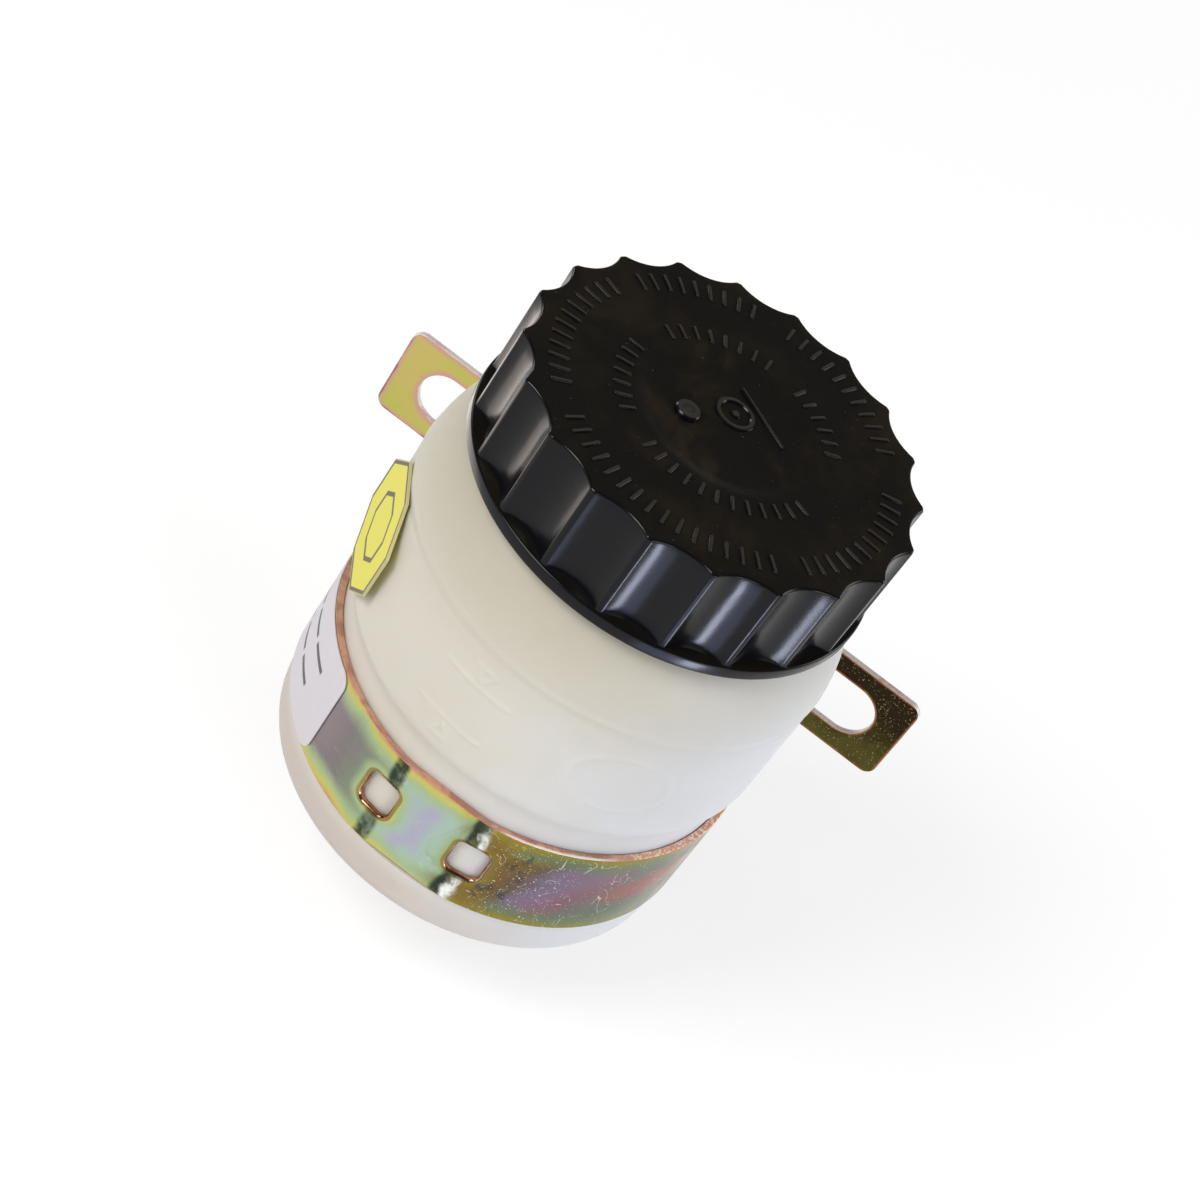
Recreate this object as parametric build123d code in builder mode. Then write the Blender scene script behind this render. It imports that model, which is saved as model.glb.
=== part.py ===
"""Clutch fluid reservoir: a round bottle with a fluted screw cap, held in a slotted steel strap.

Millimetres, +Z up. The origin lies on the bottle's axis, in the plane of its foot.
The strap's ears point to +Y, so the front, with the strap's flat, faces -Y.
"""
from build123d import *
from math import acos, cos, degrees, radians, sin, sqrt
import os

# Bottle body
body_r = 39.0
wall = 2.4
base_step = 1.0
base_corner = 4.0
foot_w = 9.0
dome_slope_w = 6.0
dome_rise = 3.0
seat_depth = 1.7
seat_spare = 5.4
seat_slope = 1.7
seat_rounding = 1.0
shoulder_z = 61.5
shoulder_rise = 13.9
shelf_w = 3.4

# Neck
neck_inset = 9.0
neck_wall = 3.0
neck_rim_chamfer = 0.5
ledge_depth = 1.6
ledge_w = 1.4

# Hose nipple under the base
nipple_r = 4.0
nipple_wall = 2.1
nipple_collar = 7.0
nipple_root_r = 1.0
barb_groove = 0.6
barb_pitch = 4.0
barb_count = 2

# Strap
strap_z = 10.0
strap_w = 20.0
strap_t = 1.25
strap_gap = 0.15
strap_edge_gap = 0.3
crease_angle = 12.0
crease_r = 15.0
leg_gap = 24.0
bend_r = 3.0
standoff = 16.5
ear_side = 20.0
ear_corner = 2.5
slot_w = 11.0
slot_len = 22.0
slot_margin = 6.0
window_angle = 13.8
window_w = 7.9
window_h = 9.0
window_r = 2.2

# Cap
cap_shelf_gap = 0.7
cap_h = 19.8
cap_top_t = 2.8
cap_overhang = 6.5
cap_flange_h = 2.4
cap_thread_gap = 1.6
flange_lip = 0.5
ridge_count = 20
ridge_phase = 3.6
ridge_tip_w = 0.9
flute_depth = 1.9
cap_edge_chamfer = 0.4
dish_margin = 20.2
dish_depth = 0.6
gate_ring_r = 3.2
gate_ring_w = 1.0
gate_ring_h = 0.5
vent_dot_r = 1.6
vent_dot_h = 0.9
vent_dot_x = -5.6
vent_dot_y = -5.4
bar_len = 12.4
bar_w = 1.0
bar_h = 0.7
bar_x = 3.2
bar_y = 5.0
bar_turn = -41.0
rib_w = 1.2
rib_h = 1.2

# Diaphragm
seal_t = 1.6
seal_rim_gap = 0.5
bellows_t = 1.0
fold_clear = 1.8
fold_pitch = 4.2
fold_crest_w = 6.4
fold_depth = 9.0
fold_top_drop = 1.4
rib_gap = 0.5

# Strainer
strainer_gap = 0.15
strainer_flange_t = 1.4
strainer_wall = 1.2
basket_clear = 1.4
basket_taper = 1.2
basket_h = 30.0
mesh_slots = 16
mesh_slot_w = 2.6
mesh_slot_h = 18.0
floor_hole_r = 1.4
floor_hole_pitch = 7.0

# Sticker and label
sticker_flats = 23.2
sticker_t = 0.5
sticker_angle = -153.7
sticker_turn = -2.0
pad_r = 7.0
film_gap = 0.05
label_t = 0.2
label_margin = 0.45
label_start_angle = -128.3
label_wrap_angle = 70.0
label_corner = 2.5

# Places worked out from the sizes above
base_r = body_r - base_step
foot_inner_r = base_r - foot_w
dome_r = foot_inner_r - dome_slope_w
base_inner_corner = base_corner - wall
seat_r = body_r - seat_depth
seat_low_z = strap_z - strap_edge_gap
seat_high_z = strap_z + strap_w + seat_spare
cavity_low_r = seat_r - wall
shelf_z = shoulder_z + shoulder_rise
neck_r = body_r - neck_inset
shelf_r = neck_r + shelf_w
neck_in_r = neck_r - neck_wall
nipple_bore_r = nipple_r - nipple_wall
barb_root_r = nipple_r - barb_groove
nipple_tip_z = -nipple_collar - (barb_count + 0.5) * barb_pitch
cap_base_z = shelf_z + cap_shelf_gap
cap_top_z = cap_base_z + cap_h
cap_under_z = cap_top_z - cap_top_t
cap_in_r = neck_r + cap_thread_gap
cap_flange_r = neck_r + cap_overhang
ridge_r = cap_flange_r - flange_lip
dish_r = ridge_r - dish_margin
neck_top_z = cap_under_z - seal_t
ledge_z = neck_top_z - ledge_depth
ledge_r = neck_in_r + ledge_w
strap_in_r = seat_r + strap_gap
strap_mid_r = strap_in_r + strap_t / 2
strap_out_r = strap_in_r + strap_t
strap_mid_z = strap_z + strap_w / 2
front_y = strap_mid_r * cos(radians(crease_angle))
ear_y = body_r + standoff + strap_t / 2
ear_reach = body_r + ear_side
slot_x = ear_reach - slot_margin - slot_len / 2
basket_top_r = neck_in_r - basket_clear
basket_low_r = basket_top_r - basket_taper
basket_low_z = ledge_z - basket_h
fold_outer_r = basket_top_r - strainer_wall - fold_clear
fold_inner_r = fold_outer_r - fold_pitch
core_r = fold_inner_r - fold_crest_w
fold_round = (fold_pitch - bellows_t) / 2
sticker_z = (seat_high_z + seat_slope + shoulder_z) / 2
label_h = strap_w - 2 * label_margin


def radial_plane(angle, distance, height):
    """Plane that faces outwards at an angle round the axis, with its Y axis up."""
    out = Vector(cos(radians(angle)), sin(radians(angle)), 0)
    along = Vector(-sin(radians(angle)), cos(radians(angle)), 0)
    return Plane(origin=(out.X * distance, out.Y * distance, height), x_dir=along, z_dir=out)


# Bottle: the whole wall is one section, from the nipple's tip round to the neck
shoulder_run = body_r - shelf_r
shoulder_arc_r = (shoulder_run**2 + shoulder_rise**2) / (2 * shoulder_run)
shoulder_mid_r = body_r - shoulder_arc_r
cavity_top_z = shelf_z - wall
cavity_top_r = shoulder_mid_r + sqrt((shoulder_arc_r - wall) ** 2 - (cavity_top_z - shoulder_z) ** 2)

# Each barb is a cone that opens towards the base and ends in a sharp shoulder
barbs = [(barb_root_r, nipple_tip_z)]
for step in range(barb_count, 0, -1):
    shoulder = -nipple_collar - (step - 0.5) * barb_pitch
    barbs += [(nipple_r, shoulder), (barb_root_r, shoulder)]
barbs += [(barb_root_r, -nipple_collar), (nipple_r, -nipple_collar)]

with BuildPart() as bottle:
    with BuildSketch(Plane.XZ) as bottle_section:
        with BuildLine():
            Polyline(
                (nipple_bore_r, nipple_tip_z),
                *barbs,
                (nipple_r, dome_rise),
                (dome_r, dome_rise),
                (foot_inner_r, 0),
                (base_r, 0),
                (base_r, seat_low_z),
                (seat_r, seat_low_z),
                (seat_r, seat_high_z),
                (body_r, seat_high_z + seat_slope),
                (body_r, shoulder_z),
            )
            TangentArc((body_r, shoulder_z), (shelf_r, shelf_z), tangent=(0, 1))
            Polyline(
                (shelf_r, shelf_z),
                (neck_r, shelf_z),
                (neck_r, neck_top_z),
                (ledge_r, neck_top_z),
                (ledge_r, ledge_z),
                (neck_in_r, ledge_z),
                (neck_in_r, cavity_top_z),
                (cavity_top_r, cavity_top_z),
            )
            TangentArc((body_r - wall, shoulder_z), (cavity_top_r, cavity_top_z), tangent=(0, 1))
            Polyline(
                (body_r - wall, shoulder_z),
                (body_r - wall, seat_high_z + seat_slope),
                (cavity_low_r, seat_high_z),
                (cavity_low_r, wall),
                (foot_inner_r, wall),
                (dome_r, dome_rise + wall),
                (nipple_bore_r, dome_rise + wall),
                (nipple_bore_r, nipple_tip_z),
            )
        make_face()
        fillet(
            bottle_section.vertices()
            .filter_by_position(Axis.X, base_r, base_r)
            .filter_by_position(Axis.Y, 0, 0),
            base_corner,
        )
        fillet(
            bottle_section.vertices()
            .filter_by_position(Axis.X, cavity_low_r, cavity_low_r)
            .filter_by_position(Axis.Y, wall, wall),
            base_inner_corner,
        )
        fillet(
            bottle_section.vertices()
            .filter_by_position(Axis.X, seat_r, body_r)
            .filter_by_position(Axis.Y, seat_high_z, seat_high_z + seat_slope),
            seat_rounding,
        )
        fillet(
            bottle_section.vertices()
            .filter_by_position(Axis.X, nipple_r, nipple_r)
            .filter_by_position(Axis.Y, dome_rise, dome_rise),
            nipple_root_r,
        )
        chamfer(
            bottle_section.vertices()
            .filter_by_position(Axis.X, neck_r, neck_r)
            .filter_by_position(Axis.Y, neck_top_z, neck_top_z),
            neck_rim_chamfer,
        )
    revolve(axis=Axis.Z)
    # A flat in the seat keys the strap's flat front, so the bottle can't turn in the strap
    seat_flat = front_y - strap_t / 2 - strap_gap
    with BuildSketch(Plane.XY.offset(seat_low_z)):
        with Locations((0, -seat_flat)):
            Rectangle(2 * base_r, body_r, align=(Align.CENTER, Align.MAX))
    extrude(amount=strap_w + 2 * strap_edge_gap, mode=Mode.SUBTRACT)
bottle.part.label = "bottle"

# Strap: one strip, bent round the bottle, back along two legs and out into two ears
leg_x = leg_gap / 2 + strap_t / 2
leg_angle = degrees(acos(leg_x / strap_mid_r))
leg_start_y = strap_mid_r * sin(radians(leg_angle))
front_x = strap_mid_r * sin(radians(crease_angle))
front_right = crease_angle - 90
front_left = -90 - crease_angle

with BuildPart() as strap:
    with BuildSketch(Plane.XY.offset(strap_z)):
        with BuildLine() as strip:
            Polyline((ear_reach, ear_y), (leg_x, ear_y), (leg_x, leg_start_y))
            CenterArc((0, 0), strap_mid_r, front_right, leg_angle - front_right)
            Line((front_x, -front_y), (-front_x, -front_y))
            CenterArc((0, 0), strap_mid_r, front_left, front_right - leg_angle)
            Polyline((-leg_x, leg_start_y), (-leg_x, ear_y), (-ear_reach, ear_y))
            fillet(strip.vertices().filter_by_position(Axis.Y, leg_start_y, ear_y), bend_r + strap_t / 2)
            fillet(strip.vertices().filter_by_position(Axis.Y, -front_y, -front_y), crease_r)
        trace(strip.line, line_width=strap_t)
    extrude(amount=strap_w)
    ear_edges = strap.edges().filter_by(Axis.Y)
    fillet(
        ear_edges.filter_by_position(Axis.X, ear_reach, ear_reach)
        + ear_edges.filter_by_position(Axis.X, -ear_reach, -ear_reach),
        ear_corner,
    )
    with BuildSketch(Plane.XZ.offset(-ear_y - strap_t)):
        with Locations((slot_x, strap_mid_z), (-slot_x, strap_mid_z)):
            SlotOverall(slot_len, slot_w)
    extrude(amount=2 * strap_t, mode=Mode.SUBTRACT)
    for angle in (-90 - window_angle, -90 + window_angle):
        with BuildSketch(radial_plane(angle, strap_out_r + strap_t, strap_mid_z)):
            RectangleRounded(window_w, window_h, window_r)
        extrude(amount=-4 * strap_t, mode=Mode.SUBTRACT)
strap.part.label = "strap"

# Strainer: a flange that rests on the ledge in the neck, and a slotted basket under it
flange_top_z = ledge_z + strainer_flange_t
floor_r = basket_low_r - strainer_wall
hole_rings = int((floor_r - floor_hole_r) / floor_hole_pitch)
with BuildPart() as strainer:
    with BuildSketch(Plane.XZ):
        with BuildLine():
            Polyline(
                (0, basket_low_z),
                (basket_low_r, basket_low_z),
                (basket_top_r, ledge_z),
                (ledge_r - strainer_gap, ledge_z),
                (ledge_r - strainer_gap, flange_top_z),
                (basket_top_r - strainer_wall, flange_top_z),
                (floor_r, basket_low_z + strainer_wall),
                (0, basket_low_z + strainer_wall),
                close=True,
            )
        make_face()
    revolve(axis=Axis.Z)
    with BuildSketch(Plane.XY.offset(basket_low_z)):
        Circle(floor_hole_r)
        for ring in range(1, hole_rings + 1):
            with PolarLocations(ring * floor_hole_pitch, 6 * ring):
                Circle(floor_hole_r)
    extrude(amount=strainer_wall, mode=Mode.SUBTRACT)
    mesh_z = (basket_low_z + strainer_wall + ledge_z) / 2
    with Locations((0, 0, mesh_z)):
        with PolarLocations(basket_low_r, mesh_slots):
            Box(4 * strainer_wall, mesh_slot_w, mesh_slot_h, mode=Mode.SUBTRACT)
strainer.part.label = "strainer"

# Diaphragm: the rim seals the neck, the folds follow the fluid level
fold_z = neck_top_z - fold_depth
fold_crest_z = neck_top_z - fold_top_drop
seal_in_r = fold_outer_r - bellows_t / 2
with BuildPart() as diaphragm:
    with BuildSketch(Plane.XZ):
        with BuildLine() as folds:
            FilletPolyline(
                (fold_outer_r, neck_top_z + seal_t / 2),
                (fold_outer_r, fold_z),
                (fold_inner_r, fold_z),
                (fold_inner_r, fold_crest_z),
                (core_r, fold_crest_z),
                (core_r, fold_z),
                (bellows_t / 2, fold_z),
                radius=fold_round,
            )
        trace(folds.line, line_width=bellows_t)
        with Locations((0, fold_z)):
            Rectangle(bellows_t, bellows_t, align=(Align.MIN, Align.CENTER))
        with Locations((seal_in_r, neck_top_z)):
            Rectangle(cap_in_r - seal_rim_gap - seal_in_r, seal_t, align=(Align.MIN, Align.MIN))
    revolve(axis=Axis.Z)
diaphragm.part.label = "diaphragm"

# Cap: plain flange, twenty scalloped flutes that stop on it, and a dished top
land_half = degrees(ridge_tip_w / 2 / ridge_r)
flute_half = 180 / ridge_count - land_half
flute_half_w = ridge_r * sin(radians(flute_half))
flute_sag = flute_depth - ridge_r * (1 - cos(radians(flute_half)))
flute_r = (flute_half_w**2 + flute_sag**2) / (2 * flute_sag)
flute_mid_r = ridge_r - flute_depth + flute_r
rib_out_r = seal_in_r - rib_gap
with BuildPart() as cap:
    with BuildSketch(Plane.XY.offset(cap_base_z)):
        Circle(ridge_r)
        with PolarLocations(flute_mid_r, ridge_count, start_angle=ridge_phase + 180 / ridge_count):
            Circle(flute_r, mode=Mode.SUBTRACT)
    extrude(amount=cap_h)
    chamfer(cap.edges().group_by(Axis.Z)[-1], cap_edge_chamfer)
    with BuildSketch(Plane.XY.offset(cap_base_z)):
        Circle(cap_flange_r)
    extrude(amount=cap_flange_h)
    chamfer(
        cap.edges().filter_by(GeomType.CIRCLE).filter_by(lambda e: e.radius == cap_flange_r),
        cap_edge_chamfer,
    )
    with BuildSketch(Plane.XY.offset(cap_base_z)):
        Circle(cap_in_r)
    extrude(amount=cap_under_z - cap_base_z, mode=Mode.SUBTRACT)
    with BuildSketch(Plane.XY.offset(cap_under_z)):
        Circle(rib_out_r)
        Circle(rib_out_r - rib_w, mode=Mode.SUBTRACT)
    extrude(amount=-rib_h)
    with BuildSketch(Plane.XY.offset(cap_top_z)):
        Circle(dish_r)
    extrude(amount=-dish_depth, mode=Mode.SUBTRACT)
    with BuildSketch(Plane.XY.offset(cap_top_z - dish_depth)):
        Circle(gate_ring_r)
        Circle(gate_ring_r - gate_ring_w, mode=Mode.SUBTRACT)
    extrude(amount=gate_ring_h)
    with BuildSketch(Plane.XY.offset(cap_top_z - dish_depth)):
        with Locations((bar_x, bar_y)):
            SlotOverall(bar_len, bar_w, rotation=bar_turn)
    extrude(amount=bar_h)
    with BuildSketch(Plane.XY.offset(cap_top_z - dish_depth)):
        with Locations((vent_dot_x, vent_dot_y)):
            Circle(vent_dot_r)
    extrude(amount=vent_dot_h)
cap.part.label = "cap"

# Sticker: a stiff octagon on a round pad of tape that fills the space to the bottle
sticker_out = Vector(cos(radians(sticker_angle)), sin(radians(sticker_angle)), 0)
with BuildPart() as octagon_sticker:
    with BuildSketch(radial_plane(sticker_angle, body_r + film_gap, sticker_z)):
        RegularPolygon(sticker_flats / 2, 8, major_radius=False, rotation=180 / 8 + sticker_turn)
    extrude(amount=sticker_t)
    with BuildSketch(radial_plane(sticker_angle, body_r + film_gap, sticker_z)):
        Circle(pad_r)
    extrude(amount=-wall)
    with BuildSketch(Plane.XY.offset(sticker_z - sticker_flats)):
        Circle(body_r + film_gap)
    extrude(amount=2 * sticker_flats, mode=Mode.SUBTRACT)
octagon_sticker.part.label = "octagon_sticker"

# Label: a thin sheet wrapped on the strap, with rounded corners
with BuildPart() as strap_label:
    with BuildSketch(Plane.XY.offset(strap_mid_z - label_h / 2)):
        with BuildLine() as wrap:
            CenterArc((0, 0), strap_out_r + film_gap + label_t / 2, label_start_angle, -label_wrap_angle)
        trace(wrap.line, line_width=label_t)
    extrude(amount=label_h)
    fillet(strap_label.edges().filter_by(GeomType.LINE).filter_by(Axis.Z, reverse=True), label_corner)
strap_label.part.label = "strap_label"

os.makedirs("parts", exist_ok=True)
export_step(bottle.part, "parts/bottle.step")
export_step(strap.part, "parts/strap.step")
export_step(strainer.part, "parts/strainer.step")
export_step(diaphragm.part, "parts/diaphragm.step")
export_step(cap.part, "parts/cap.step")
export_step(octagon_sticker.part, "parts/octagon_sticker.step")
export_step(strap_label.part, "parts/strap_label.step")
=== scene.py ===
"""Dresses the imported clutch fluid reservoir: milky bottle, black fluted cap, passivated steel strap.

Lengths are in millimetres until a mesh is made, which turns them into metres.
The frame is the CAD's: +Z up the bottle's axis, the strap's ears towards +Y, the front at -Y.
"""
from math import acos, asin, atan2, ceil, cos, hypot, pi, radians, sin, sqrt

import bmesh
import bpy
import numpy as np
from mathutils import Matrix, Vector


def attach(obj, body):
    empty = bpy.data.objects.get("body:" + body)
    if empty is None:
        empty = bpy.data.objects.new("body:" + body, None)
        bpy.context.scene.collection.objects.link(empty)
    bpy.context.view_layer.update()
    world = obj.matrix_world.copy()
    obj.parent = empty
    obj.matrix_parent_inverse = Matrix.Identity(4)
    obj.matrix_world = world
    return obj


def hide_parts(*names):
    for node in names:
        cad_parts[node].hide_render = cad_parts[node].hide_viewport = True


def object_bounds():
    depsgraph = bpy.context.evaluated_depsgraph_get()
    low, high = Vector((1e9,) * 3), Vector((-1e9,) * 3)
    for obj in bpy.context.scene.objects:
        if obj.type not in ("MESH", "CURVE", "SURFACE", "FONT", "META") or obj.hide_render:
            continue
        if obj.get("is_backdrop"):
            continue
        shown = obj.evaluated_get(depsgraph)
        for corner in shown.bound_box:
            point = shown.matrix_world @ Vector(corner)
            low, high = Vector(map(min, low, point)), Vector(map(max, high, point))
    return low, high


MM = 0.001

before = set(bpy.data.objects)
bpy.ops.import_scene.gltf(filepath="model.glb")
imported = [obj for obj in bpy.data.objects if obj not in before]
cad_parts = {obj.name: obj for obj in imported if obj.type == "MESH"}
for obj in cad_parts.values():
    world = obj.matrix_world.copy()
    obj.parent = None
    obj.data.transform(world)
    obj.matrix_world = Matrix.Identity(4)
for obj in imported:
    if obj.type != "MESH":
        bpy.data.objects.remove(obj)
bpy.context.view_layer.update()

# Bottle
BODY_R = 39.0
WALL = 2.4
BASE_R = 38.0
BASE_CORNER = 4.0
FOOT_IN_R = 29.0
DOME_R = 23.0
DOME_RISE = 3.0
SEAT_R = 37.3
SEAT_LOW_Z = 9.7
SEAT_HIGH_Z = 34.6
SEAT_SLOPE = 3.2
SHOULDER_Z = 61.5
SHELF_Z = 75.4
SHELF_R = 33.4
NECK_R = 30.0
NECK_IN_R = 27.0
NECK_TOP_Z = 91.5
LEDGE_Z = 89.9
LEDGE_R = 28.4
NIPPLE_R = 4.0
NIPPLE_BORE_R = 1.9
BARB_ROOT_R = 3.4
COLLAR_Z = -7.0
BARB_PITCH = 4.0
NIPPLE_TIP_Z = -17.0
POCKET_HIGH_Z = 30.3

# Marks raised on the bottle: degrees round it, heights, and strokes from the pointer's middle
POINTERS = ((-98.75, 55.5, 1), (-100.5, 41.9, -1))
POINTER_STROKES = (
    ((-6.4, -1.9), (6.4, -1.9)),
    ((0, -0.9), (-1.9, 2.0)),
    ((0, -0.9), (1.9, 2.0)),
    ((-1.9, 2.0), (1.9, 2.0)),
)
POINTER_W = 0.75
OVAL_TURN = -57.0
OVAL_Z = 49.7
OVAL_TILT = -4.0
OVAL_HALF_W = 9.0
OVAL_HALF_H = 6.2

# Strap
STRAP_T = 1.25
STRAP_BEVEL = 0.16
STRAP_LOW_Z = 10.0
STRAP_W = 20.0
STRAP_MID_R = 38.075
CREASE = radians(12.0)
CREASE_R = 15.0
LEG_X = 12.625
BEND_R = 3.625
EAR_Y = 56.125
EAR_REACH = 59.0
EAR_CORNER = 2.5
SLOT_X = 42.0
SLOT_LEN = 22.0
SLOT_W = 11.0
WINDOW_ANGLE = radians(13.8)
WINDOW_W = 7.2
WINDOW_H = 8.2
WINDOW_R = 2.0
LIP = 0.55
FRONT_Y = STRAP_MID_R * cos(CREASE)
POCKET_FLAT = FRONT_Y - STRAP_T / 2 - 0.15

# Cap
CAP_BASE_Z = 76.1
CAP_TOP_Z = 95.9
CAP_UNDER_Z = 93.1
CAP_IN_R = 31.6
FLANGE_R = 36.5
FLANGE_H = 2.4
RIDGE_R = 36.0
FLUTES = 20
RIDGE_PHASE = radians(3.6)
RIDGE_TIP_W = 0.9
FLUTE_DEPTH = 1.9
DISH_R = 15.8
DISH_DEPTH = 0.6
RIB_OUT_R = 21.6
RIB_IN_R = 20.4
RIB_H = 1.2

# Rows of dashes on the cap: middle radius, dash length, step and rows, the last two in degrees
DASH_ROWS = (
    (29.8, 3.9, 5.2, ((-128, -46), (-38, 22), (40, 96), (106, 148), (160, 218))),
    (18.9, 3.3, 8.2, ((-112, -20), (30, 78), (92, 152), (176, 232))),
)
DASH_W = 0.75
DASH_H = 0.3

# Screw thread: the cap's ridge starts half a turn from the neck's
THREAD_PITCH = 5.0
THREAD_H = 1.15
THREAD_LOW_Z = 79.5
THREAD_START = 0.4
NECK_THREAD_TURNS = 1.65
CAP_THREAD_TURNS = 1.4

# Sticker and label: the sticker faces STICKER_FACING degrees, and is 2 x STICKER_REACH across flats
STICKER_FACING = -153.7
STICKER_Z = 49.3
STICKER_REACH = 11.6
STICKER_TILT = -2.0
# Rows of bars: height, then start and end in degrees to the left of the front's middle
LABEL_ROWS = ((22.6, 49.0, 92.0), (16.4, 52.5, 88.0))
LABEL_BAR = 12.0


# Profiles and grids


def arc(cx, cy, r, start, end, step=radians(7)):
    """Points on a circle from one angle to another, ends included."""
    count = max(2, ceil(abs(end - start) / step))
    turns = [start + (end - start) * i / count for i in range(count + 1)]
    return [(cx + r * cos(t), cy + r * sin(t)) for t in turns]


def rounded(corners, closed=False):
    """A line through (x, y, radius) corners with each corner rounded."""
    points = []
    for i, (x, y, radius) in enumerate(corners):
        corner = Vector((x, y))
        if not radius or (not closed and i in (0, len(corners) - 1)):
            points.append((x, y))
            continue
        back = Vector(corners[i - 1][:2]) - corner
        ahead = Vector(corners[(i + 1) % len(corners)][:2]) - corner
        a, b = back.normalized(), ahead.normalized()
        half = acos(max(-1, min(1, a.dot(b)))) / 2
        if half > radians(89.5):
            points.append((x, y))
            continue
        reach = min(radius * cos(half) / sin(half), 0.48 * back.length, 0.48 * ahead.length)
        r = reach * sin(half) / cos(half)
        centre = corner + (a + b).normalized() * (r / sin(half))
        first = corner + a * reach - centre
        last = corner + b * reach - centre
        start = atan2(first.y, first.x)
        sweep = (atan2(last.y, last.x) - start + pi) % (2 * pi) - pi
        points += arc(centre.x, centre.y, r, start, start + sweep, radians(18))
    return points


def split_long(points, step):
    """Adds points so that no stretch is longer than step(middle point)."""
    out = [points[0]]
    for (x0, y0), (x1, y1) in zip(points, points[1:]):
        dx, dy = x1 - x0, y1 - y0
        count = max(1, ceil(hypot(dx, dy) / step((x0 + x1) / 2, (y0 + y1) / 2)))
        out += [(x0 + dx * i / count, y0 + dy * i / count) for i in range(1, count + 1)]
    return out


def finish_mesh(name, bm, smooth_angle=35.0):
    """Turns a bmesh in millimetres into a smooth shaded object."""
    bmesh.ops.remove_doubles(bm, verts=bm.verts, dist=1e-4)
    bmesh.ops.dissolve_degenerate(bm, edges=bm.edges, dist=1e-5)
    bmesh.ops.recalc_face_normals(bm, faces=bm.faces)
    bmesh.ops.scale(bm, vec=(MM, MM, MM), verts=bm.verts)
    mesh = bpy.data.meshes.new(name)
    bm.to_mesh(mesh)
    bm.free()
    mesh.shade_smooth()
    mesh.set_sharp_from_angle(angle=radians(smooth_angle))
    obj = bpy.data.objects.new(name, mesh)
    bpy.context.scene.collection.objects.link(obj)
    return obj


def add_grid(bm, grid, wrap_rows=False, wrap_columns=False):
    """Adds a sheet of faces over an array of points, rows x columns x 3."""
    rows, columns = grid.shape[:2]
    verts = [[bm.verts.new(point) for point in row] for row in grid]
    for i in range(rows if wrap_rows else rows - 1):
        for j in range(columns if wrap_columns else columns - 1):
            a, b = verts[i], verts[(i + 1) % rows]
            k = (j + 1) % columns
            bm.faces.new((a[j], a[k], b[k], b[j]))


def turned(radii, heights, angles):
    """Grid points from radii (rows x columns) at heights (rows) and angles (columns)."""
    z = np.repeat(np.asarray(heights)[:, None], len(angles), axis=1)
    return np.stack([radii * np.cos(angles), radii * np.sin(angles), z], axis=2)


def smooth_step(low, high, x):
    """0 below low, 1 above high and a smooth step between them."""
    t = np.clip((x - low) / (high - low), 0, 1)
    return t * t * (3 - 2 * t)


# Bottle


def shoulder(offset, end_z):
    """The shoulder's arc, or one parallel to it, from the body up to a height."""
    run = BODY_R - SHELF_R
    rise = SHELF_Z - SHOULDER_Z
    r = (run**2 + rise**2) / (2 * run)
    end = asin((end_z - SHOULDER_Z) / (r - offset))
    return arc(BODY_R - r, SHOULDER_Z, r - offset, 0, end, radians(2.5))


def bottle_profile():
    """The wall's closed section, from the nipple's tip up the outside and down the inside."""
    barbs = []
    for step in (2, 1):
        z = COLLAR_Z - (step - 0.5) * BARB_PITCH
        barbs += [(NIPPLE_R, z, 0.12), (BARB_ROOT_R, z, 0.12)]
    outer_arc = shoulder(0, SHELF_Z)
    inner_arc = shoulder(WALL, SHELF_Z - WALL)
    corners = [
        (NIPPLE_BORE_R, NIPPLE_TIP_Z, 0.3),
        (BARB_ROOT_R, NIPPLE_TIP_Z, 0.3),
        *barbs,
        (BARB_ROOT_R, COLLAR_Z, 0.12),
        (NIPPLE_R, COLLAR_Z, 0.25),
        (NIPPLE_R, DOME_RISE, 1.0),
        (DOME_R, DOME_RISE, 4.0),
        (FOOT_IN_R, 0, 2.0),
        (BASE_R, 0, BASE_CORNER),
        (BASE_R, SEAT_LOW_Z, 0.3),
        (SEAT_R, SEAT_LOW_Z, 0.2),
        (SEAT_R, SEAT_HIGH_Z, 6.0),
        (BODY_R, SEAT_HIGH_Z + SEAT_SLOPE, 6.0),
        *[(x, z, 0) for x, z in outer_arc[:-1]],
        (SHELF_R, SHELF_Z, 0.5),
        (NECK_R, SHELF_Z, 0.4),
        (NECK_R, NECK_TOP_Z, 0.5),
        (LEDGE_R, NECK_TOP_Z, 0.2),
        (LEDGE_R, LEDGE_Z, 0.1),
        (NECK_IN_R, LEDGE_Z, 0.2),
        (NECK_IN_R, SHELF_Z - WALL, 1.0),
        *[(x, z, 0) for x, z in reversed(inner_arc)],
        (BODY_R - WALL, SEAT_HIGH_Z + SEAT_SLOPE, 1.0),
        (SEAT_R - WALL, SEAT_HIGH_Z, 1.0),
        (SEAT_R - WALL, WALL, BASE_CORNER - WALL),
        (FOOT_IN_R, WALL, 2.0),
        (DOME_R, DOME_RISE + WALL, 4.0),
        (NIPPLE_BORE_R, DOME_RISE + WALL, 0.4),
    ]
    return rounded(corners, closed=True)


def stroke(u, v, ends, width, soft=0.22):
    """Height of a raised line between two points on the unrolled bottle."""
    (x0, y0), (x1, y1) = ends
    dx, dy = x1 - x0, y1 - y0
    t = np.clip(((u - x0) * dx + (v - y0) * dy) / (dx * dx + dy * dy), 0, 1)
    away = np.hypot(u - x0 - t * dx, v - y0 - t * dy)
    return 1 - smooth_step(width / 2 - soft, width / 2 + soft, away)


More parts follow.
